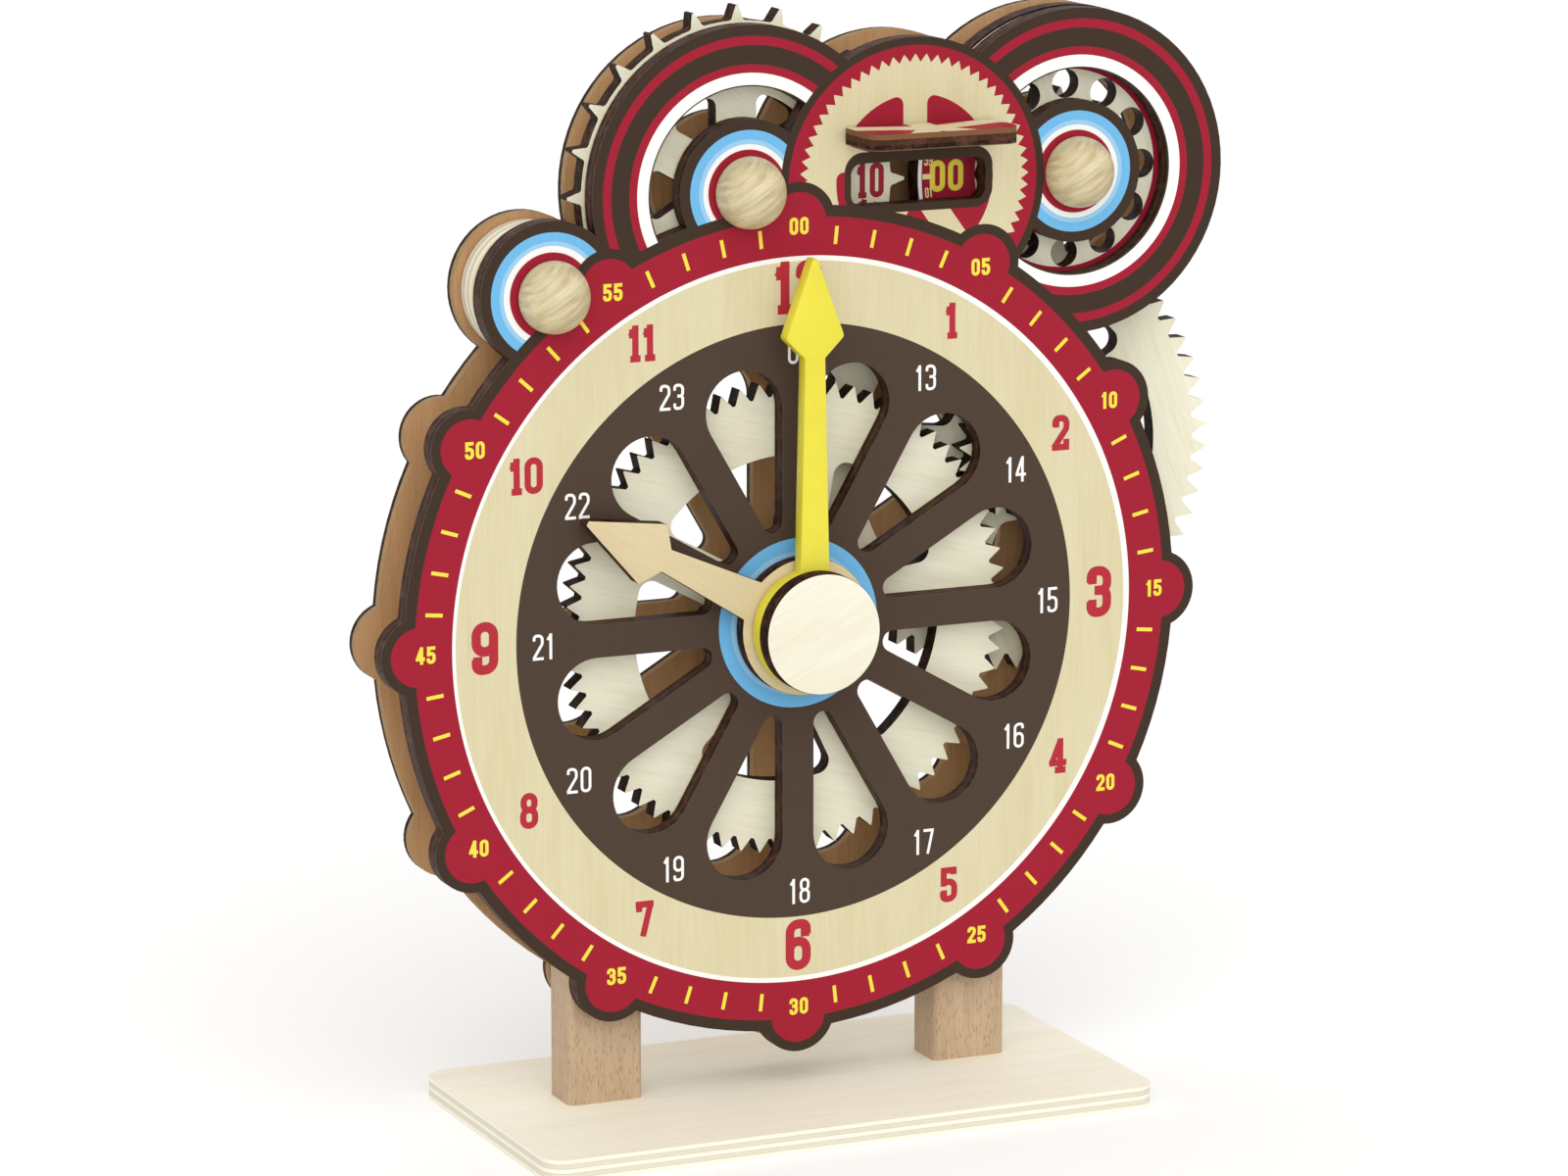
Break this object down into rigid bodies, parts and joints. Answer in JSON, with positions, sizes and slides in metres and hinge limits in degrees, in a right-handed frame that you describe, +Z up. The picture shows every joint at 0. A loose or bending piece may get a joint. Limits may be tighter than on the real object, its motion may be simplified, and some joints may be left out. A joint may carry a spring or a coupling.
{
  "type": "teaching clock",
  "caption": "Wooden geared teaching clock on a base, with hands on a lobed dial, and a window where two turning number wheels show hour and minute behind a shutter.",
  "frame": {"origin": "middle of the base board's underside", "axes": "+X to the right of the dial, -Y towards the reader, +Z up"},
  "size_m": [0.2783, 0.1046, 0.337],
  "materials": {
    "birch_plywood": "pale birch plywood with bare sanded edges",
    "printed_plywood": "plywood sheet printed in dark brown, red, blue and white, with burnt laser-cut edges",
    "laser_cut_plywood": "unpainted plywood with burnt laser-cut edges",
    "yellow_plywood": "plywood printed yellow, with burnt laser-cut edges",
    "number_plywood": "cream plywood with printed numbers and burnt laser-cut edges",
    "beech": "planed beech",
    "ball_wood": "turned and sanded hardwood",
    "dowel": "birch dowel",
    "washer_plastic": "natural nylon",
    "hinge_brass": "satin brass",
    "screw_steel": "zinc-plated steel"
  },
  "bodies": {
    "stand": {"base_board": "birch_plywood", "left_post": "beech", "right_post": "beech", "front_plate": "printed_plywood", "back_plate": "laser_cut_plywood", "spacer_pillars": "dowel", "base_screws": "screw_steel", "back_screws": "screw_steel", "hub_washers": "washer_plastic", "number_washers": "washer_plastic", "train_washers": "washer_plastic", "intermediate_axle": "dowel", "hinge_plate_leaf": "hinge_brass", "hinge_pin": "hinge_brass", "hinge_plate_screws": "hinge_brass"},
    "minute_numbers": {"minute_number_wheel": "number_plywood", "number_pinion": "laser_cut_plywood", "number_axle": "dowel", "number_collar": "laser_cut_plywood", "right_ball_knob": "ball_wood"},
    "intermediate": {"intermediate_wheel": "laser_cut_plywood", "intermediate_pinion": "laser_cut_plywood"},
    "minute": {"minute_arbor": "dowel", "minute_pinion": "laser_cut_plywood", "minute_hand": "yellow_plywood", "hub_knob": "birch_plywood"},
    "hour": {"hour_sleeve": "dowel", "hour_hand": "laser_cut_plywood", "hour_wheel": "laser_cut_plywood"},
    "hour_numbers": {"hour_number_wheel": "number_plywood", "hour_number_axle": "dowel", "hour_number_collar": "laser_cut_plywood", "left_ball_knob": "ball_wood"},
    "roller": {"thumb_roller": "birch_plywood", "roller_axle": "dowel", "roller_ball_knob": "ball_wood"},
    "shutter": {"shutter_flap": "printed_plywood", "hinge_flap_leaf": "hinge_brass", "hinge_flap_screws": "hinge_brass"}
  },
  "joints": [
    {"name": "minute_numbers_turn", "type": "hinge", "parent": "stand", "child": "minute_numbers", "pos_m": [0.09171, 0, 0.28246], "axis": [0, 1, 0], "continuous": true},
    {"name": "intermediate_turn", "type": "hinge", "parent": "stand", "child": "intermediate", "pos_m": [0.07664, 0, 0.19525], "axis": [0, 1, 0], "continuous": true},
    {"name": "minute_turn", "type": "hinge", "parent": "stand", "child": "minute", "pos_m": [0, 0, 0.151], "axis": [0, 1, 0], "continuous": true},
    {"name": "hour_turn", "type": "hinge", "parent": "stand", "child": "hour", "pos_m": [0, 0, 0.151], "axis": [0, 1, 0], "continuous": true},
    {"name": "hour_numbers_turn", "type": "hinge", "parent": "stand", "child": "hour_numbers", "pos_m": [-0.01649, 0, 0.28246], "axis": [0, 1, 0], "continuous": true},
    {"name": "roller_turn", "type": "hinge", "parent": "stand", "child": "roller", "pos_m": [-0.07918, 0, 0.25533], "axis": [0, 1, 0], "continuous": true},
    {"name": "shutter_fold", "type": "hinge", "parent": "stand", "child": "shutter", "pos_m": [0.03936, -0.0085, 0.29346], "axis": [1, 0, 0], "range_deg": [0, 90]}
  ],
  "couplings": [
    {"joint": "intermediate_turn", "follows": "minute_numbers_turn", "ratio": -0.33333},
    {"joint": "minute_turn", "follows": "minute_numbers_turn", "ratio": 1},
    {"joint": "hour_turn", "follows": "minute_numbers_turn", "ratio": 0.083333},
    {"joint": "hour_numbers_turn", "follows": "minute_numbers_turn", "ratio": -0.041667}
  ]
}
